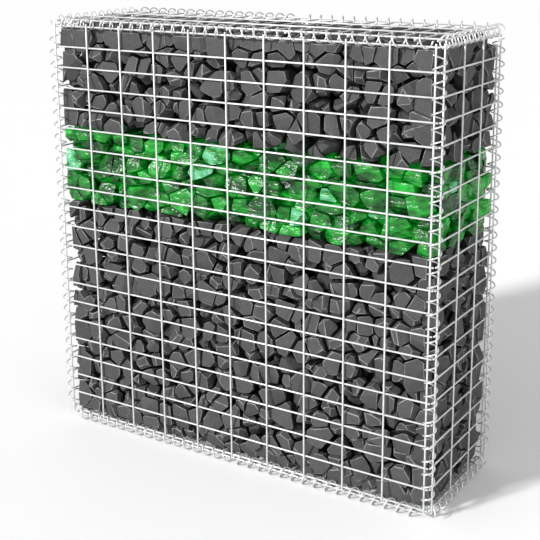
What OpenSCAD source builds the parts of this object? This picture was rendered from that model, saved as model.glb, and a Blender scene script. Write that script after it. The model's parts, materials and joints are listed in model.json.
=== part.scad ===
// Gabion wall: a free-standing basket of welded wire mesh, laced along every edge
// with wire coils and filled with crushed stone and one band of glass rock.
// X runs along the wall, Y through it (the front faces -Y) and Z is up.
// The origin is at the middle of the footprint, on the ground.

/* [Basket] */
// Number of mesh bays along the wall
n_bays = 10; // [4:2:16]
// Width of one bay along the wall
bay_w = 100; // [80:1:130]
// Number of mesh bays through the wall
n_deep = 3; // [2:1:6]
// Depth of one bay through the wall
bay_d = 100; // [80:1:130]
// Number of mesh rows up the wall
n_rows = 20; // [8:1:30]
// Height of one mesh row
row_h = 50; // [40:1:65]

/* [Mesh wire] */
// Thickness of the mesh wire
wire_d = 4; // [3:0.1:5]
// How far two crossing wires sink into each other at a weld
weld_sink = 0.5; // [0.3:0.1:1]
// Length of each wire's free end past the last wire that it crosses
stub = 7; // [4:0.5:9]

/* [Lacing coils] */
// Mean diameter of a lacing coil
coil_d = 27; // [22:0.5:33]
// Thickness of the coil wire
coil_wire = 3.5; // [2.8:0.1:4.2]

/* [Fill] */
// Height of the top of the glass band above the bottom wire
glass_top = 750; // [500:1:900]
// Height of the glass band
glass_h = 185; // [60:1:300]
// Gap between the fill and the inner wires
fill_gap = 0.3; // [0.2:0.1:2]

/* [Hidden] */

// Coil turns in three bays along or through the wall, and in three rows up it
turns_per_3_bays = 10;
turns_per_3_rows = 5;

// Nominal size of the mesh box, edge wire to edge wire
wall_l = n_bays * bay_w;
wall_d = n_deep * bay_d;
wall_h = n_rows * row_h;
// The lid and the base have two cross wires to each bay
lid_pitch = bay_w / 2;

// Distance between the two layers of wire in a panel
layer = wire_d - weld_sink;
// Mesh bars are octagonal, with flats the wire's thickness apart
bar_sides = 8;
bar_turn = 180 / bar_sides;
bar_across = wire_d / cos(bar_turn);

// A coil is a chain of half rings, each tilted the other way from the last, so it is
// narrow where two half rings meet and wide half way between
coil_r = coil_d / 2;
function wide_r(narrow, pitch) = round(100 * norm([narrow, pitch / 4])) / 100;
// Every other half ring is this much thinner, so that two half rings meet face to face
// without sharing a rim
ring_step = 0.1;
pitch_x = 3 * bay_w / turns_per_3_bays;
pitch_y = 3 * bay_d / turns_per_3_bays;
pitch_z = 3 * row_h / turns_per_3_rows;
ring_fn = 32;
coil_wire_fn = 24;

// Distance from a coil's axis to an edge wire that rests inside it with a given play
function seat(play) = coil_r - coil_wire / 2 - wire_d / 2 - play;

// Upright edges: a front or back panel's edge wire and a side panel's edge wire share a coil,
// and lie the same way round it. The coil crosses each panel's inner wires at 15 degrees
// from square, which puts its strands midway between those wires on both panels.
corner_play = 0.4;
corner_in = coil_r * sin(15);
corner_out = sqrt(pow(seat(corner_play), 2) - pow(corner_in + layer, 2));
corner_x = wall_l / 2 + corner_out;
corner_y = wall_d / 2 + corner_out;
// Planes of the inner wires of the front and side panels
front_in = corner_y + corner_in;
side_in = corner_x + corner_in;
panel_gap = front_in - wall_d / 2;

// Long edges: the front panel's top wire sits low in the coil and the lid's edge wire sits
// high in it. The lid's height is where the two directions in which the coil crosses the
// panels are long_cross degrees from square; halving an interval finds it.
long_low_play = 0.49;
long_high_play = 0.32;
long_cross = 37.2;
function long_b(e) = coil_r * sin(long_cross - asin(e / coil_r)) - layer;
function long_miss(e) = sqrt(pow(seat(long_high_play), 2) - pow(e + layer, 2)) + long_b(e) - panel_gap;
function halve(lo, hi, steps) =
  let (mid = (lo + hi) / 2)
  steps == 0 ? mid :
  long_miss(lo) * long_miss(mid) <= 0 ? halve(lo, mid, steps - 1) : halve(mid, hi, steps - 1);
long_e = halve(0, seat(long_high_play) - layer - 0.01, 40);
long_y = front_in - long_b(long_e);
long_up = sqrt(pow(seat(long_low_play), 2) - pow(long_b(long_e), 2));
// Height of the lid's cross wires above the panels' top wires
lid_rise = long_up + long_e;

// Short edges: the side panel's top wire and the lid's end wire, where two circles meet
short_low_play = 0.85;
short_high_play = 0.06;
short_a = seat(short_low_play);
short_b = seat(short_high_play);
short_span = norm([panel_gap, lid_rise]);
short_along = (short_a * short_a - short_b * short_b + short_span * short_span) / (2 * short_span);
short_across = sqrt(short_a * short_a - short_along * short_along);
short_x = side_in - short_along * panel_gap / short_span + short_across * lid_rise / short_span;
short_up = short_along * lid_rise / short_span + short_across * panel_gap / short_span;

// Each coil's radius at its narrow places, the way those places face round its axis, and
// how far past a mesh wire the first one lies: the strands then pass between the wires
corner_narrow = coil_r - 1.04;
corner_lean = 0;
corner_shift = 0.317 * pitch_z;
long_narrow = coil_r - 0.34;
long_lean = 262.3;
long_shift = pitch_x / 6;
short_narrow = coil_r - 1.16;
short_lean = 242;
short_shift = 0.08 * pitch_y;
corner_wide = wide_r(corner_narrow, pitch_z);
long_wide = wide_r(long_narrow, pitch_x);
short_wide = wide_r(short_narrow, pitch_y);

// The lowest coils stand on the ground, which sets the height of the bottom wires
long_drop = norm([long_narrow * sin(long_lean), long_wide * cos(long_lean)]) + coil_wire / 2;
short_drop = norm([short_narrow * sin(short_lean), short_wide * cos(short_lean)]) + coil_wire / 2;
bottom = max(long_up + long_drop, short_up + short_drop);
top = bottom + wall_h;
middle = bottom + wall_h / 2;
lid_in = top + lid_rise;

module rod(length) {
  rotate([0, 0, bar_turn]) cylinder(d = bar_across, h = length, $fn = bar_sides);
}

// A flat welded panel: upright wires on the outside (+Z) and close-set level wires under them
module mesh(uprights, upright_pitch, levels, level_pitch) {
  w = (uprights - 1) * upright_pitch;
  h = (levels - 1) * level_pitch;
  for (i = [0:uprights - 1])
    translate([i * upright_pitch - w / 2, h + stub, layer]) rotate([90, 0, 0]) rod(h + 2 * stub);
  for (k = [0:levels - 1])
    translate([-w / 2 - stub, k * level_pitch, 0]) rotate([0, 90, 0]) rod(w + 2 * stub);
}

// Half of a coil's turn, in a plane tilted so that it climbs half the pitch
module half_ring(wide, pitch, wire) {
  rotate([0, asin(pitch / 4 / wide), 0])
    rotate_extrude(angle = 180, $fn = ring_fn)
      translate([wide, 0]) circle(d = wire, $fn = coil_wire_fn);
}

// A right-handed coil up Z, with the start of its first half ring at Z = 0
module coil(halves, wide, pitch, lean) {
  color("silver")
    rotate([0, 0, lean])
      for (i = [0:halves - 1])
        translate([0, 0, (i + 0.5) * pitch / 2])
          rotate([0, 0, 180 * (i % 2)])
            half_ring(wide, pitch, coil_wire - ring_step * (1 - i % 2));
}

module face_panel() {
  color("gainsboro")
    translate([0, -front_in, bottom]) rotate([90, 0, 0])
      mesh(n_bays + 1, bay_w, n_rows + 1, row_h);
}

module end_panel() {
  color("gainsboro")
    translate([side_in, 0, bottom]) rotate([90, 0, 90])
      mesh(n_deep + 1, bay_d, n_rows + 1, row_h);
}

module flat_panel() {
  color("gainsboro")
    translate([-wall_l / 2, 0, lid_in]) mirror([1, -1, 0])
      mesh(n_deep + 1, bay_d, 2 * n_bays + 1, lid_pitch);
}

// An upright coil fills the height between the coils below and above it
corner_halves = floor(2 * (wall_h - 2 * corner_shift) / pitch_z);
module corner_coil() {
  translate([corner_x, -corner_y, bottom + corner_shift])
    coil(corner_halves, corner_wide, pitch_z, corner_lean);
}

// A long edge has two coils of opposite hand. They meet at mid-length and stop short of
// the coils along the short edges
long_end = short_x - short_wide - coil_wire - 1;
long_halves = floor(2 * (long_end - long_shift) / pitch_x);
module long_coil() {
  translate([long_shift, -long_y, top + long_up]) rotate([90, 0, 90])
    coil(long_halves, long_wide, pitch_x, long_lean);
}

short_halves = floor(2 * wall_d / pitch_y);
module short_coil() {
  translate([short_x, wall_d / 2 - short_shift, top + short_up]) rotate([90, 0, 0])
    coil(short_halves, short_wide, pitch_y, short_lean);
}

module flip_ends() { mirror([1, 0, 0]) children(); }
module flip_faces() { mirror([0, 1, 0]) children(); }
module flip_heights() { translate([0, 0, 2 * middle]) mirror([0, 0, 1]) children(); }
// Half a turn about the wall's long centre line, which keeps a coil's hand
module turn_over() { flip_faces() flip_heights() children(); }
// Half a turn about an upright line at the middle of a long coil, which keeps its hand too
module turn_round() {
  translate([2 * long_shift + long_halves * pitch_x / 2, 0, 0]) rotate([0, 0, 180]) children();
}

// The stones, as blocks that fill the basket and leave room for the coils
fill_x = side_in - wire_d / 2 - fill_gap;
fill_y = front_in - wire_d / 2 - fill_gap;
fill_top = lid_in - wire_d / 2 - fill_gap;
fill_bottom = 2 * middle - fill_top;
module coil_room(wide, length) {
  cylinder(r = wide + coil_wire / 2 + fill_gap, h = length, center = true, $fn = 64);
}
module coil_rooms() {
  long_run = wall_l + 4 * coil_d;
  short_run = wall_d + 4 * coil_d;
  tall_run = wall_h + 4 * coil_d;
  for (side = [-1, 1]) {
    for (face = [-1, 1])
      translate([side * corner_x, face * corner_y, middle]) coil_room(corner_wide, tall_run);
    for (level = [-1, 1]) {
      translate([0, side * long_y, middle + level * (wall_h / 2 + long_up)])
        rotate([0, 90, 0]) coil_room(long_wide, long_run);
      translate([side * short_x, 0, middle + level * (wall_h / 2 + short_up)])
        rotate([90, 0, 0]) coil_room(short_wide, short_run);
    }
  }
}
module fill(low, high) {
  difference() {
    translate([-fill_x, -fill_y, low]) cube([2 * fill_x, 2 * fill_y, high - low]);
    coil_rooms();
  }
}

face_panel();  // front_panel
flip_faces() face_panel();  // back_panel
end_panel();  // right_panel
flip_ends() end_panel();  // left_panel
flat_panel();  // lid_panel
flip_heights() flat_panel();  // base_panel
corner_coil();  // coil_front_right_corner
flip_ends() corner_coil();  // coil_front_left_corner
turn_over() corner_coil();  // coil_back_right_corner
flip_ends() turn_over() corner_coil();  // coil_back_left_corner
long_coil();  // coil_top_front_right
flip_ends() long_coil();  // coil_top_front_left
turn_round() long_coil();  // coil_top_back_right
flip_ends() turn_round() long_coil();  // coil_top_back_left
flip_heights() long_coil();  // coil_base_front_right
flip_ends() flip_heights() long_coil();  // coil_base_front_left
flip_heights() turn_round() long_coil();  // coil_base_back_right
flip_ends() flip_heights() turn_round() long_coil();  // coil_base_back_left
short_coil();  // coil_top_right_end
flip_ends() short_coil();  // coil_top_left_end
flip_heights() short_coil();  // coil_base_right_end
flip_ends() flip_heights() short_coil();  // coil_base_left_end
color("dimgray") fill(fill_bottom, bottom + glass_top - glass_h);  // lower_stone_fill
color("limegreen") fill(bottom + glass_top - glass_h, bottom + glass_top);  // glass_rock_fill
color("dimgray") fill(bottom + glass_top, fill_top);  // upper_stone_fill
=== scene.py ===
# %% [markdown]
# # A gabion wall
#
# A gabion is a basket of welded wire mesh, laced along its edges with wire coils and
# filled with stone. This one stands free. It is a metre long, a metre high and 300 mm
# deep, and a band of green glass rock runs through its dark crushed stone.
#
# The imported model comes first, as a fixed frame. Everything made here takes its place
# from that frame, in metres.

# %% Load the frame
import math
import random
from itertools import product

import bmesh
import bpy
import numpy as np
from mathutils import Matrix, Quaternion, Vector, geometry, kdtree
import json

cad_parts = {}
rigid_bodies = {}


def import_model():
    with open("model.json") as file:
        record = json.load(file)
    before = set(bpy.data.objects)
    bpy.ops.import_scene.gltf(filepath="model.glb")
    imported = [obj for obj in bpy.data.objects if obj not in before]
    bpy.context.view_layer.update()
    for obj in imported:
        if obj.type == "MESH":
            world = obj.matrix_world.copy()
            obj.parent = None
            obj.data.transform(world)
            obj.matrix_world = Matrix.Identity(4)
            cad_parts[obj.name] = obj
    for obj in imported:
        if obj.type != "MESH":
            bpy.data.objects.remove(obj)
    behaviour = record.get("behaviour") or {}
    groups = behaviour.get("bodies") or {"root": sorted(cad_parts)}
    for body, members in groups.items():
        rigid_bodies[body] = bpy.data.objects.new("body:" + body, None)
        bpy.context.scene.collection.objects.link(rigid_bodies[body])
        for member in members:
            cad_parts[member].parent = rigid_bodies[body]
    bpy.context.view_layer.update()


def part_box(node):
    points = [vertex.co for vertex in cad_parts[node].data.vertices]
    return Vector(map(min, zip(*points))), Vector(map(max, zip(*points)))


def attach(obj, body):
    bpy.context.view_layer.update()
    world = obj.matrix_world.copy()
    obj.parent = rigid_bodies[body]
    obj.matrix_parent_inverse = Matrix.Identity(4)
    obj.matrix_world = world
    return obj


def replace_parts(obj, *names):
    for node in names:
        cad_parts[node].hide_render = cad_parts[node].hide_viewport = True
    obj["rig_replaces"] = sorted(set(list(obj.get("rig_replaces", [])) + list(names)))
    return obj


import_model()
scene = bpy.context.scene

# %% [markdown]
# ## The camera
#
# The camera stands to the right of the wall and a little above its top, so that the
# front, the right end and the lid all show. Its lens is long, which keeps the mesh
# nearly parallel, and a small downward shift keeps its uprights upright, as a product
# photographer does. A camera looks along its own -Z, so its turn is the one that takes
# -Z to the view direction, and then a very small roll.

# %% Place the camera
bearing, height, roll = math.radians(32.44), math.radians(13.6), math.radians(-0.43)
back = Vector((math.sin(bearing) * math.cos(height),
               -math.cos(bearing) * math.cos(height),
               math.sin(height)))
camera = bpy.data.objects.new("camera", bpy.data.cameras.new("camera"))
camera.data.sensor_width = 36
camera.data.lens = 73.96
camera.data.shift_y = -0.15
camera.location = (1.3861, -2.1649, 1.2665)
camera.rotation_mode = "QUATERNION"
camera.rotation_quaternion = (-back).to_track_quat("-Z", "Y") @ Quaternion((0, 0, 1), roll)
scene.collection.objects.link(camera)
scene.camera = camera
print("camera", tuple(camera.location), "lens", camera.data.lens)

# %% [markdown]
# ## Shader maths as sums
#
# A procedural finish is arithmetic on noise. A small class wraps a socket, so that
# `1 - mask` or `grain * 0.3 + dust` adds the Math nodes by itself. Another holds one
# finish, and makes every other kind of node through one method: its settings are set
# first, because they decide which sockets a node has, and then its values and links.

# %% Signal: a socket that can be used in sums
class Signal:
    def __init__(self, finish, socket):
        self.finish, self.socket = finish, socket

    def math(self, operation, first, second):
        return self.finish.node("ShaderNodeMath", {"operation": operation},
                                {0: first, 1: second})

    def __add__(self, other):
        return self.math("ADD", self, other)

    def __radd__(self, other):
        return self.math("ADD", other, self)

    def __sub__(self, other):
        return self.math("SUBTRACT", self, other)

    def __rsub__(self, other):
        return self.math("SUBTRACT", other, self)

    def __mul__(self, other):
        return self.math("MULTIPLY", self, other)

    def __rmul__(self, other):
        return self.math("MULTIPLY", other, self)


# %% Finish: one material and its nodes
class Finish:
    def __init__(self, name, **fixed):
        self.material = bpy.data.materials.new(name)
        self.material.use_nodes = True
        self.tree = self.material.node_tree
        self.surface = self.tree.nodes["Principled BSDF"]
        self.fill_in(self.surface, fixed)

    def fill_in(self, node, sockets):
        for name, value in sockets.items():
            socket = node.inputs[name]
            if isinstance(value, Signal):
                self.tree.links.new(value.socket, socket)
            else:
                socket.default_value = value

    def node(self, kind, settings, sockets, output=0):
        made = self.tree.nodes.new(kind)
        for name, value in settings.items():
            if name == "stops":
                while len(made.color_ramp.elements) < len(value):
                    made.color_ramp.elements.new(1)
                for element, (place, colour) in zip(made.color_ramp.elements, value):
                    element.position, element.color = place, colour
            else:
                setattr(made, name, value)
        self.fill_in(made, sockets)
        return Signal(self, made.outputs[output])

    def place(self):
        return self.node("ShaderNodeTexCoord", {}, {}, "Object")

    def noise(self, size, detail=3.0, rough=0.5, stretch=(1, 1, 1)):
        """Noise with lumps of about this size, in metres."""
        where = self.node("ShaderNodeVectorMath", {"operation": "MULTIPLY"},
                          {0: self.place(), 1: [1 / (size * s) for s in stretch]})
        return self.node("ShaderNodeTexNoise", {},
                         {"Vector": where, "Scale": 1.0, "Detail": detail,
                          "Roughness": rough})

    def ramp(self, value, *stops):
        """A colour for each value, mixed between stops of a place and its colour."""
        return self.node("ShaderNodeValToRGB", {"stops": stops}, {0: value})

    def level(self, value, low, high):
        """0 up to low, 1 from high on, and even between them."""
        return self.node("ShaderNodeMapRange", {"clamp": True},
                         {"Value": value, "From Min": low, "From Max": high})

    def blend(self, share, first, second):
        return self.node("ShaderNodeMix", {"data_type": "RGBA"},
                         {0: share, 6: first, 7: second}, 2)

    def mark(self, name):
        """A number that the mesh carries on its faces."""
        return self.node("ShaderNodeAttribute", {"attribute_name": name}, {}, "Fac")

    def bump(self, height, depth, strength=1.0):
        return self.node("ShaderNodeBump", {},
                         {"Height": height, "Distance": depth, "Strength": strength})

    def wear(self, **varying):
        self.fill_in(self.surface, {k.replace("_", " "): v for k, v in varying.items()})


def grey(level, tint=(1, 1, 1)):
    return (level * tint[0], level * tint[1], level * tint[2], 1)


# %% [markdown]
# ## Galvanised wire
#
# The mesh and the coils are steel wire dipped in zinc. New zinc is nearly white, with
# a soft shine and faint mottling where it froze in patches. So the finish is a bright
# metal of middling roughness, with a slow mottle in its colour and roughness and a
# fine unevenness in its surface.

# %% Finish of the wires
def zinc(name, bright, metal):
    finish = Finish(name, Metallic=metal, IOR=1.6)
    mottle = finish.noise(0.012, 4)
    drawn = finish.noise(0.0015, 2)
    finish.wear(
        Base_Color=finish.blend(finish.level(mottle, 0.35, 0.65),
                                grey(bright * 0.86, (0.97, 0.99, 1)), grey(bright)),
        Roughness=finish.level(mottle, 0.2, 0.8) * 0.16 + 0.26,
        Normal=finish.bump(drawn + mottle, 0.00012))
    return finish.material


mesh_zinc = zinc("galvanised_mesh_wire", 0.76, 0.2)
coil_zinc = zinc("galvanised_coil_wire", 0.78, 0.6)
print("wire finishes", mesh_zinc.name, coil_zinc.name)

# %% [markdown]
# ## Building many small things in one mesh
#
# A wall like this has hundreds of wires and thousands of stones. Each of them as its
# own object would be slow, so a `Heap` collects their corners and faces, and turns them
# into one object at the end. Numbers that belong to a face, such as how pale its stone
# is, go along with it and are read by the finish.

# %% Heap: many small shapes in one object
class Heap:
    def __init__(self, *marks):
        self.corners, self.faces, self.count = [], [], 0
        self.marks = {name: [] for name in marks}

    def add(self, corners, faces, **marks):
        self.corners.append(np.asarray(corners, float))
        self.faces.extend([[i + self.count for i in face] for face in faces])
        self.count += len(corners)
        for name, value in marks.items():
            each = value if isinstance(value, list) else [value] * len(faces)
            self.marks[name].extend(each)

    def build(self, name, material):
        mesh = bpy.data.meshes.new(name)
        mesh.from_pydata(np.vstack(self.corners).tolist(), [], self.faces)
        for mark, values in self.marks.items():
            layer = mesh.attributes.new(mark, "FLOAT", "FACE")
            layer.data.foreach_set("value", values)
        mesh.materials.append(material)
        piece = bpy.data.objects.new(name, mesh)
        scene.collection.objects.link(piece)
        return piece


def triangles(piece):
    return sum(len(face.vertices) - 2 for face in piece.data.polygons)


def stand_for(piece, nodes):
    """The piece rides on the one body and takes the place of these nodes."""
    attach(piece, "root")
    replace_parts(piece, *nodes)
    print(piece.name, triangles(piece), "triangles")


# %% [markdown]
# ## A length of wire
#
# Every wire here is a round tube along a path: two points for a straight wire, many for
# a coil. At each point a ring of corners is laid square to the path. Rolling the
# first ring's frame along the path keeps the rings from twisting, and any way that no
# wire follows does to start it. The ends are cropped, so the last ring is drawn in a
# little, as cutters leave it.

# %% Tube along a path
cut_width = 0.72  # of the wire's own
askew = (0.31, 0.52, 0.8)


def tube(heap, path, radius, sides, crop):
    """Crop is how far behind its end the wire has its full thickness."""
    path = np.asarray(path, float)
    ahead = np.gradient(path, axis=0)
    ahead /= np.linalg.norm(ahead, axis=1)[:, None]
    path = np.vstack([path[0], path[0] + ahead[0] * crop, path[1:-1],
                      path[-1] - ahead[-1] * crop, path[-1]])
    ahead = np.vstack([ahead[0], ahead[0], ahead[1:-1], ahead[-1], ahead[-1]])
    radii = np.full(len(path), radius)
    radii[[0, -1]] = radius * cut_width
    side = np.cross(ahead[0], askew)
    turn = np.linspace(0, 2 * math.pi, sides, endpoint=False)
    corners = []
    for point, way, r in zip(path, ahead, radii):
        side = side - way * side.dot(way)
        side /= np.linalg.norm(side)
        other = np.cross(way, side)
        corners.append(point + r * (np.outer(np.cos(turn), side)
                                    + np.outer(np.sin(turn), other)))
    faces = [[k * sides + i, k * sides + (i + 1) % sides,
              (k + 1) * sides + (i + 1) % sides, (k + 1) * sides + i]
             for k in range(len(path) - 1) for i in range(sides)]
    last = (len(path) - 1) * sides
    faces += [list(range(sides))[::-1], list(range(last, last + sides))]
    heap.add(np.vstack(corners), faces)


# %% [markdown]
# ## Welded mesh panels
#
# Six flat panels make the basket. On each, one set of wires lies on the outside and
# the other under it, and every crossing is a spot weld where the two wires have sunk
# half a millimetre into each other. The welder squeezes out a small collar of steel
# there, which is a flattened ball round the crossing.

# %% Sizes of the mesh
wire = 0.004
sink = 0.0005
stub = 0.007
bay = 0.100
row = 0.050
crossing = wire - sink
wire_sides = 14
print("mesh of", bay, "by", row, "m, in wire of", wire, "m")


# %% One weld
weld_thick, weld_wide = 0.0021, 0.0031


def weld(heap, centre, normal):
    """A flattened ball of steel where two wires cross. Normal is the panel's axis."""
    around, up = 8, 4
    flat = np.full(3, weld_wide)
    flat[normal] = weld_thick
    balls = [(0, 0, 1)]
    for k in range(1, up):
        a = math.pi * k / up
        balls += [(math.sin(a) * math.cos(2 * math.pi * i / around),
                   math.sin(a) * math.sin(2 * math.pi * i / around), math.cos(a))
                  for i in range(around)]
    balls.append((0, 0, -1))
    faces = [[0, 1 + i, 1 + (i + 1) % around] for i in range(around)]
    for k in range(up - 2):
        base = 1 + k * around
        faces += [[base + i, base + around + i, base + around + (i + 1) % around,
                   base + (i + 1) % around] for i in range(around)]
    base = 1 + (up - 2) * around
    faces += [[base + i, len(balls) - 1, base + (i + 1) % around] for i in range(around)]
    heap.add(centre + np.array(balls) * flat, faces)


# %% Smooth wire with crisp ends
def smooth_wire(piece):
    piece.data.shade_smooth()
    piece.data.set_sharp_from_angle(angle=math.radians(50))


# %% One panel
def panel(node, along, across, out, along_pitch, across_pitch):
    """Along is the axis that the outer wires follow, across the inner ones', and out
    the panel's outward axis, as a signed axis number from 1 to 3."""
    low, high = (np.array(corner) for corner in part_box(node))
    normal, sign = abs(out) - 1, math.copysign(1, out)
    outer = (high if sign > 0 else low)[normal] - sign * wire / 2
    inner = outer - sign * crossing
    heap = Heap()

    def stations(axis, pitch):
        first, last = low[axis] + stub, high[axis] - stub
        return np.linspace(first, last, round((last - first) / pitch) + 1)

    def wires(axis, over, pitch, depth):
        for station in stations(over, pitch):
            ends = np.zeros((2, 3))
            ends[:, over], ends[:, normal] = station, depth
            ends[0, axis], ends[1, axis] = low[axis], high[axis]
            tube(heap, ends, wire / 2, wire_sides, 0.0006)

    wires(along, across, along_pitch, outer)
    wires(across, along, across_pitch, inner)
    for a in stations(along, across_pitch):
        for b in stations(across, along_pitch):
            centre = np.zeros(3)
            centre[along], centre[across], centre[normal] = a, b, (outer + inner) / 2
            weld(heap, centre, normal)
    piece = heap.build("wires_" + node, mesh_zinc)
    smooth_wire(piece)
    stand_for(piece, [node])


# %% The six panels
X, Y, Z = 0, 1, 2
panel("front_panel", Z, X, -2, bay, row)
panel("back_panel", Z, X, 2, bay, row)
panel("right_panel", Z, Y, 1, bay, row)
panel("left_panel", Z, Y, -1, bay, row)
panel("lid_panel", X, Y, 3, bay, row)
panel("base_panel", X, Y, -3, bay, row)

# %% [markdown]
# ## Lacing coils
#
# A lacing coil is a long spring that is screwed through two panels' edges. It is a true
# helix, 30 mm from turn to turn, so a path of points on a circle that also climbs gives
# it exactly. Each coil is threaded so that its strands pass between the mesh wires,
# and that sets the place along it where it faces outward. One coil of each kind is
# worked out, and the others are its mirror images.

# %% Sizes of the coils
coil_wire = 0.0035
climb = 0.030
steps = 22
coil_sides = 9
bottom, top = 0.0238716, 1.0238716
middle = (bottom + top) / 2
corner_x, corner_y = 0.506205, 0.156205
long_y, long_up = 0.157225, 0.0089232
short_x, short_up = 0.509337, 0.0088926
corner_radius, edge_radius = 0.0135, 0.0132
corner_facing, long_facing, short_facing = bottom + 0.00875, 0.00456, 0.00153
print("coils of", 2 * corner_radius, "m across, a turn every", climb, "m")


# %% A coil's points
def helix(radius, first, last, facing):
    """Points of a coil. It faces its own zero direction at the place called facing."""
    places = np.linspace(first, last, int((last - first) / climb * steps) + 1)
    angle = 2 * math.pi * (places - facing) / climb
    return places, radius * np.cos(angle), radius * np.sin(angle)


def coil(node, points):
    heap = Heap()
    tube(heap, points, coil_wire / 2, coil_sides, 0.0004)
    piece = heap.build("wire_" + node, coil_zinc)
    smooth_wire(piece)
    stand_for(piece, [node])


def span(node, axis):
    """Where a coil's first and last points lie along its axis."""
    low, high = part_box(node)
    return low[axis] + coil_wire / 2, high[axis] - coil_wire / 2


def mirrored(points, centre, axis):
    points = points.copy()
    points[:, axis] = 2 * centre - points[:, axis]
    return points


# %% The four upright coils
first, last = span("coil_front_right_corner", Z)
z, a, b = helix(corner_radius, first, last, corner_facing)
upright = np.stack([corner_x + a, b - corner_y, z], 1)
turned = mirrored(mirrored(upright, 0, Y), middle, Z)
coil("coil_front_right_corner", upright)
coil("coil_front_left_corner", mirrored(upright, 0, X))
coil("coil_back_right_corner", turned)
coil("coil_back_left_corner", mirrored(turned, 0, X))

# %% The eight long coils
first, last = span("coil_top_front_right", X)
x, a, b = helix(edge_radius, first, last, long_facing)
long_front = np.stack([x, a - long_y, top + long_up + b], 1)
first, last = span("coil_top_back_right", X)
turn_x = (sum(span("coil_top_front_right", X)) + first + last) / 4
long_back = mirrored(mirrored(long_front, turn_x, X), 0, Y)
for face, points in (("front", long_front), ("back", long_back)):
    for side, there in (("right", points), ("left", mirrored(points, 0, X))):
        coil(f"coil_top_{face}_{side}", there)
        coil(f"coil_base_{face}_{side}", mirrored(there, middle, Z))

# %% The four short coils
first, last = span("coil_top_right_end", Y)
y, a, b = helix(edge_radius, -last, -first, short_facing)
short = np.stack([short_x + a, -y, top + short_up + b], 1)
for side, points in (("right", short), ("left", mirrored(short, 0, X))):
    coil(f"coil_top_{side}_end", points)
    coil(f"coil_base_{side}_end", mirrored(points, middle, Z))

# %% [markdown]
# ## Packing stones
#
# Crushed stone in a basket is a jumble in which every stone touches its neighbours.
# A Voronoi division gives that directly: scatter centres, and give each one the space
# that is nearer to it than to any other. Each cell is a convex block with flat
# faces, like a broken stone. Every face is a plane, so a stone is a list of planes, each
# a normal and its distance from the origin, and Blender finds the corners that they
# leave.
#
# The basket's inside comes from the frame. Round each coil, every stone has to keep out
# of a round room that runs the length of the edge.

# %% The room for the stones
fills = ("lower_stone_fill", "glass_rock_fill", "upper_stone_fill")
boxes = {node: [Vector(corner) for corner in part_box(node)] for node in fills}
coil_reach = 0.0171
edges = []
for sx in (-1, 1):
    for sy in (-1, 1):
        edges.append((Z, Vector((sx * corner_x, sy * corner_y, 0))))
    for level, up in ((bottom, -1), (top, 1)):
        edges.append((X, Vector((0, sx * long_y, level + up * long_up))))
        edges.append((Y, Vector((sx * short_x, 0, level + up * short_up))))
print(len(edges), "coil rooms of radius", coil_reach, "m")


def off_edge(point, axis, line):
    """The shortest way to the point from the edge along this axis, through line."""
    off = point - line
    off[axis] = 0
    return off


# %% Scatter the centres
stray = 0.38
nearest_wall = 0.2
coil_to_centre = coil_reach + 0.012


def scatter(low, high, size, chance):
    """Centres in staggered rows, each moved at random by up to stray of the spacing.
    Size is the spacing along each axis."""
    centres = []
    counts = [max(1, round((high[n] - low[n]) / size[n])) for n in range(3)]
    pitch = [(high[n] - low[n]) / counts[n] for n in range(3)]
    for k, j, i in product(*(range(counts[n]) for n in (2, 1, 0))):
        at = [i + 0.5 + 0.25 * (-1) ** (j + k), j + 0.5 + 0.2 * (-1) ** k, k + 0.5]
        spot = Vector(low[n] + pitch[n] * (at[n] + chance.uniform(-stray, stray))
                      for n in range(3))
        spot = Vector(min(max(spot[n], low[n] + nearest_wall * size[n]),
                          high[n] - nearest_wall * size[n]) for n in range(3))
        for axis, line in edges:
            off = off_edge(spot, axis, line)
            if off.length < coil_to_centre:
                spot += off.normalized() * (coil_to_centre - off.length)
        centres.append(spot)
    return centres


# %% From planes to corners
on_plane = 2e-6
same_corner = 4e-6


def corners_of(planes):
    found, _ = geometry.points_in_planes([(*n, -d) for n, d in planes])
    kept = []
    for point in found:
        if all((point - other).length > same_corner for other in kept):
            kept.append(point)
    return kept


# %% From corners to faces
def faces_of(corners, planes):
    """Each plane's corners, in order round its face."""
    faces = []
    for normal, far in planes:
        on = [i for i, c in enumerate(corners) if abs(normal.dot(c) - far) < on_plane]
        if len(on) < 3:
            continue
        mid = sum((corners[i] for i in on), Vector()) / len(on)
        first = (corners[on[0]] - mid).normalized()
        second = normal.cross(first)
        on.sort(key=lambda i: math.atan2((corners[i] - mid).dot(second),
                                         (corners[i] - mid).dot(first)))
        faces.append(on)
    return faces


# %% [markdown]
# ## The planes round one stone
#
# Half way to each neighbour is the joint. Moving it towards the lighter of the two
# makes stones of several sizes, and moving each face in by its own small amount opens
# the dark gaps. Next to the mesh, one more face lies close behind the wires, a little
# tilted, as a stone settles there. Knocking off the farthest corners then leaves the
# rounder shape of stone from a crusher. A stone beside a coil is left nearly whole and
# turns one flat side to it, so that little daylight shows along the wall's edges.

# %% Planes that keep clear of the coils
near_coil, beside_coil = coil_reach + 0.06, coil_reach + 0.032


def coil_planes(centre, chance):
    """The planes, and whether the stone lies right beside a coil."""
    planes, beside = [], False
    for axis, line in edges:
        off = off_edge(centre, axis, line)
        if off.length >= near_coil:
            continue
        away = off.normalized()
        if off.length < beside_coil:
            beside = True
            reach = [abs(off[n]) + chance.uniform(0, 0.008) if n != axis else 0
                     for n in range(3)]
            flat = reach.index(max(reach))
            aside = Vector((0, 0, 0))
            aside[flat] = math.copysign(1, off[flat])
            away = (away * 0.35 + aside).normalized()
        planes.append((-away, -away.dot(line) - coil_reach))
    return planes, beside


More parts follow.
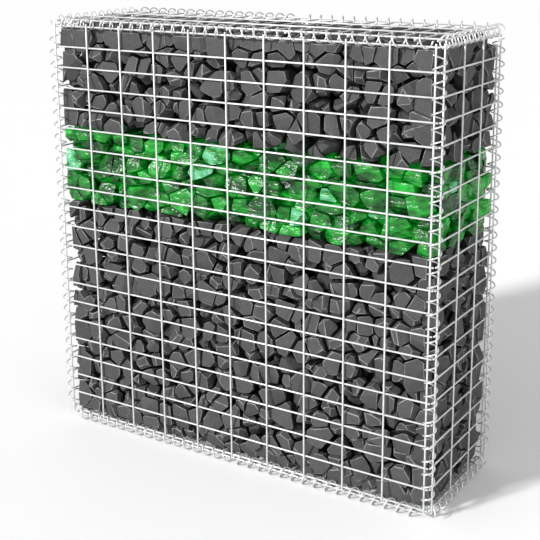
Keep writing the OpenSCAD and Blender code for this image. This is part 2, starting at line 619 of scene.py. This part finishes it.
# %% Planes between neighbours
def joint_planes(centre, others, size, joint, snug, chance):
    """A neighbour comes with how much heavier this stone is."""
    planes = []
    for other, heavier in others:
        way = other - centre
        scaled = Vector(way[n] / size[n] ** 2 for n in range(3))
        normal = scaled.normalized()
        half = normal.dot(way) / 2 * (1 + heavier) * snug - chance.uniform(*joint)
        planes.append((normal, normal.dot(centre) + half))
    return planes


# %% Planes at the basket's walls
def wall_planes(centre, low, high, size, tilt, chance):
    planes = []
    for axis, (sign, wall) in product(range(3), ((-1, low), (1, high))):
        outward = Vector((0, 0, 0))
        outward[axis] = sign
        near = sign * (wall[axis] - centre[axis])
        planes.append((outward, sign * wall[axis]))
        if near < size[axis] * 0.95:
            lean = Vector(chance.gauss(0, tilt) for _ in range(3))
            normal = (outward + lean).normalized()
            depth = near - chance.uniform(0, min(0.008, near * 0.4))
            planes.append((normal, normal.dot(centre) + depth))
    return planes


# %% Planes that knock off the far corners
def chip_planes(centre, corners, chips, chance):
    planes = []
    for corner in sorted(corners, key=lambda c: -(c - centre).length)[:chips]:
        way = (corner - centre).normalized() + Vector(chance.gauss(0, 0.15)
                                                      for _ in range(3))
        way.normalize()
        planes.append((way, way.dot(centre)
                       + way.dot(corner - centre) * chance.uniform(0.6, 0.9)))
    return planes


# %% One stone
def stone(centre, others, low, high, size, joint, tilt, chips, chance):
    """Corners and faces of one stone, or None where no room is left for it."""
    rooms, beside = coil_planes(centre, chance)
    if beside:
        joint, chips, snug = (0.0001, 0.0008), 1, 1
    else:
        snug = chance.uniform(0.88, 1)
    planes = joint_planes(centre, others, size, joint, snug, chance)
    planes += wall_planes(centre, low, high, size, tilt, chance)
    corners = corners_of(planes + rooms)
    if len(corners) < 4:
        return None
    planes += rooms + chip_planes(centre, corners, chips, chance)
    corners = corners_of(planes)
    faces = faces_of(corners, planes)
    if len(corners) < 6 or len(faces) < 5:
        return None
    return corners, faces


# %% [markdown]
# ## Worn edges
#
# A broken stone's edges are never razor sharp. A narrow bevel takes them off, and the
# new faces are marked, so that the finish can make them paler. That paleness is partly
# the dust on the worn arris of dark stone and partly a painted highlight where light
# catches it, and it is what draws each stone's outline. A bevel is no wider than the
# shortest edge allows, so each stone gets its own, after corners that nearly meet have
# been joined. Edges where two faces are nearly in line have nothing to wear off.

# %% Bevel one stone
joined = 0.0022
sharp_edge = math.radians(32)


def wear_edges(corners, faces, rim):
    """Gives the stone's new corners and faces, and for each face 1 if it is worn."""
    work = bmesh.new()
    verts = [work.verts.new(corner) for corner in corners]
    for face in faces:
        work.faces.new([verts[i] for i in face])
    bmesh.ops.remove_doubles(work, verts=verts, dist=joined)
    sharp = [edge for edge in work.edges if edge.calc_face_angle(0) > sharp_edge]
    made = bmesh.ops.bevel(work, geom=sharp, offset=rim, offset_type="OFFSET",
                           segments=1, profile=0.5, affect="EDGES", clamp_overlap=True)
    fresh = set(made["faces"])
    work.verts.index_update()
    result = ([vert.co[:] for vert in work.verts],
              [[vert.index for vert in face.verts] for face in work.faces],
              [float(face in fresh) for face in work.faces])
    work.free()
    return result


# %% [markdown]
# ## A whole band
#
# The stones that show, in front and behind, are kept apart from those inside, which
# need no worn edges. Which stones are neighbours comes from a search tree, in a space
# that is stretched so that the spacing is the same along every axis.

# %% Which piece a stone belongs to
def side_of(centre, node, low, high, size):
    deep = min(min(centre[n] - low[n], high[n] - centre[n]) / size[n] for n in range(2))
    if node != "glass_rock_fill":
        end = high if node == "upper_stone_fill" else low
        deep = min(deep, abs(end[2] - centre[2]) / size[2])
    return "core" if deep > 1.0 else "front" if centre.y < 0 else "back"


# %% Pack a band
neighbours = 22
weight = 0.2


def pack_band(name, node, size, joint, tilt, chips, rim, seed, material):
    """Size is the spacing of the stones along each axis, joint the least and most that
    a face is moved in, tilt how far faces lean behind the mesh, chips the number of
    corners knocked off, and rim the width of a worn edge."""
    chance = random.Random(seed)
    low, high = boxes[node]
    centres = scatter(low, high, size, chance)
    weights = [chance.uniform(-weight, weight) for _ in centres]
    stretched = kdtree.KDTree(len(centres))
    for i, centre in enumerate(centres):
        stretched.insert([centre[n] / size[n] for n in range(3)], i)
    stretched.balance()
    heaps = {side: Heap("tone", "worn") for side in ("front", "back", "core")}
    for i, centre in enumerate(centres):
        near = stretched.find_n([centre[n] / size[n] for n in range(3)], neighbours)
        others = [(centres[j], weights[i] - weights[j]) for _, j, _ in near if j != i]
        made = stone(centre, others, low, high, size, joint, tilt, chips, chance)
        if made is None:
            continue
        side = side_of(centre, node, low, high, size)
        worn = 0.0
        if side != "core":
            *made, worn = wear_edges(*made, rim)
        heaps[side].add(*made, tone=chance.random(), worn=worn)
    for side, heap in heaps.items():
        stand_for(heap.build(f"{name}_{side}", material), [node])


# %% [markdown]
# ## Crushed stone
#
# The stone is a dark basalt. Each stone has its own grey, and its broken faces are fine
# grained with a few open pits, which are painted darker as the shade inside them. The
# worn edges are painted pale, partly as dust and partly as a painted highlight where
# light catches them. The grain is noise at a millimetre or two, the unevenness of a
# broken face is noise at a centimetre, and both also lift the surface a little.

# %% Finish of the stone
def basalt():
    finish = Finish("crushed_basalt", IOR=1.5)
    tone, worn = finish.mark("tone"), finish.mark("worn")
    grain = finish.noise(0.0016, 4, 0.65)
    patch = finish.noise(0.018, 3)
    # Pits: holes in the stone, sunk by the bump and painted darker as the shade inside
    # them.
    pits = finish.level(finish.noise(0.0035, 2), 0.62, 0.72)
    body = finish.blend(finish.level(tone * 0.6 + patch * 0.55, 0.2, 0.9),
                        grey(0.023, (0.97, 1, 1.03)), grey(0.052, (1, 1, 0.99)))
    speck = finish.blend(finish.level(grain, 0.4, 0.65) * 0.65, body, grey(0.085))
    # Pale bevels: partly real dust on the worn edges, partly a painted highlight where
    # light catches them.
    dust_and_highlight = finish.level(patch + grain * 0.4, 0.55, 0.85) * 0.75 + 0.2
    dusty_and_highlit = finish.blend(worn * dust_and_highlight, speck, grey(0.3, (1, 1, 0.98)))
    finish.wear(
        Base_Color=finish.blend(pits * 0.6, dusty_and_highlit, grey(0.03)),
        Roughness=finish.level(grain, 0.2, 0.8) * 0.25 + 0.6,
        Normal=finish.bump(grain * 0.25 + patch * 2 - pits * 0.3, 0.0016))
    return finish.material


dark_stone = basalt()

# %% Pack the stone bands
for name, node, seed in (("upper_stones", "upper_stone_fill", 11),
                         ("lower_stones", "lower_stone_fill", 12)):
    pack_band(name, node, size=(0.043, 0.042, 0.040), joint=(0.0002, 0.005), tilt=0.26,
              chips=7, rim=0.0013, seed=seed, material=dark_stone)

# %% [markdown]
# ## Glass rock
#
# Glass rock is slag glass broken with a hammer: long wedges with curved, shiny faces.
# It is packed in the same way, with cells stretched along the wall, tighter joints and
# a stronger tilt. Light goes a little way in and comes out bright green, and thin
# edges and faces that look into the dark are nearly black green. The finish mixes the
# two by noise drawn out along the wall, and a little of its own light stands for what
# travels through the pieces.

# %% Finish of the glass
def green_glass():
    finish = Finish("green_glass_rock", IOR=1.5, **{
        "Transmission Weight": 0.1, "Emission Strength": 0.25})
    tone, worn = finish.mark("tone"), finish.mark("worn")
    drift = finish.noise(0.024, 3, 0.5, (1.7, 1.7, 0.8))
    streak = finish.noise(0.010, 2, 0.5, (2.2, 2.2, 0.7))
    depth = finish.level(tone * 0.5 + drift * 1.7 + streak * 0.7, 0.95, 1.95)
    # A few pale cyan-green patches are a painted highlight, in the colour and in the glow.
    painted_highlight = finish.level(tone, 0.972, 0.98) * finish.level(drift, 0.42, 0.55)
    body = finish.ramp(depth, (0, (0.002, 0.022, 0.005, 1)), (0.4, (0.002, 0.09, 0.007, 1)),
                       (0.75, (0.003, 0.2, 0.012, 1)), (1, (0.012, 0.34, 0.035, 1)))
    glow = finish.ramp(depth, (0.3, (0, 0.01, 0.001, 1)), (1, (0.01, 0.6, 0.04, 1)))
    # The bevels are painted a paler green, a painted highlight along the edges of the
    # glass.
    rim_highlight = worn * finish.level(streak, 0.5, 0.7) * 0.35
    rimmed = finish.blend(rim_highlight, body, (0.2, 0.75, 0.3, 1))
    finish.wear(
        Base_Color=finish.blend(painted_highlight * 0.9, rimmed, (0.12, 0.42, 0.24, 1)),
        Emission_Color=finish.blend(painted_highlight, glow, (0.1, 0.35, 0.18, 1)),
        Roughness=finish.level(streak, 0.3, 0.8) * 0.15 + 0.24,
        Normal=finish.bump(drift * 3 + streak * 0.6, 0.004))
    return finish.material


glass = green_glass()
print("fill finishes", dark_stone.name, glass.name)

# %% Pack the glass band
pack_band("glass_rocks", "glass_rock_fill", size=(0.056, 0.042, 0.031),
          joint=(0.0001, 0.001), tilt=0.38, chips=4, rim=0.0006, seed=13, material=glass)

# %% [markdown]
# ## Floor and light
#
# A pale floor carries on past the edge of the view, under a pale sky that lights the
# wall from all round. A soft sun lamp in front on the left shapes the stones and throws
# the wall's shadow back to the right. It is a sun, not a nearby lamp, so that the floor
# is as bright far off as close by. A weak area lamp, low on the right, keeps that end
# clear. The Standard view shows whites as white, where Blender's usual one greys them.

# %% The floor
def pale_floor():
    finish = Finish("pale_floor", Roughness=0.8)
    finish.wear(Base_Color=finish.blend(finish.noise(0.5, 2), grey(0.94), grey(0.96)))
    return finish.material


def floor_plane(half):
    heap = Heap()
    heap.add([(-half, -half, 0), (half, -half, 0), (half, half, 0), (-half, half, 0)],
             [[0, 1, 2, 3]])
    floor = heap.build("floor", pale_floor())
    print("floor", 2 * half, "m square")


floor_plane(60)


# %% The lamps
def lamp(name, kind, place, aim, power):
    """Power is in watts, or in watts per square metre for a sun."""
    light = bpy.data.lights.new(name, kind)
    light.energy = power
    made = bpy.data.objects.new(name, light)
    made.location = place
    made.rotation_euler = (Vector(aim) - Vector(place)).to_track_quat("-Z", "Y").to_euler()
    scene.collection.objects.link(made)
    print(name, place, power)
    return light


key = lamp("key", "SUN", (-1.98, -4.04, 2.69), (0, 0, 0.5), 3.6)
key.angle = math.radians(6)
fill = lamp("fill", "AREA", (3.4, -1.6, 0.9), (0.5, 0, 0.5), 20)
fill.shape, fill.size = "DISK", 1.6

# %% The sky
world = bpy.data.worlds.new("pale_sky")
world.use_nodes = True
world.node_tree.nodes["Background"].inputs["Color"].default_value = (1, 1, 1, 1)
world.node_tree.nodes["Background"].inputs["Strength"].default_value = 0.57
scene.world = world
scene.view_settings.view_transform = "Standard"
print("sky", world.name, "view", scene.view_settings.view_transform)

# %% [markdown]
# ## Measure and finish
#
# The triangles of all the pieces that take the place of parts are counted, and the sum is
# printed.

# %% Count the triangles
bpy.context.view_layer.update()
total = sum(triangles(o) for o in scene.objects
            if o.type == "MESH" and "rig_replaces" in o)
print("triangles in all", total)
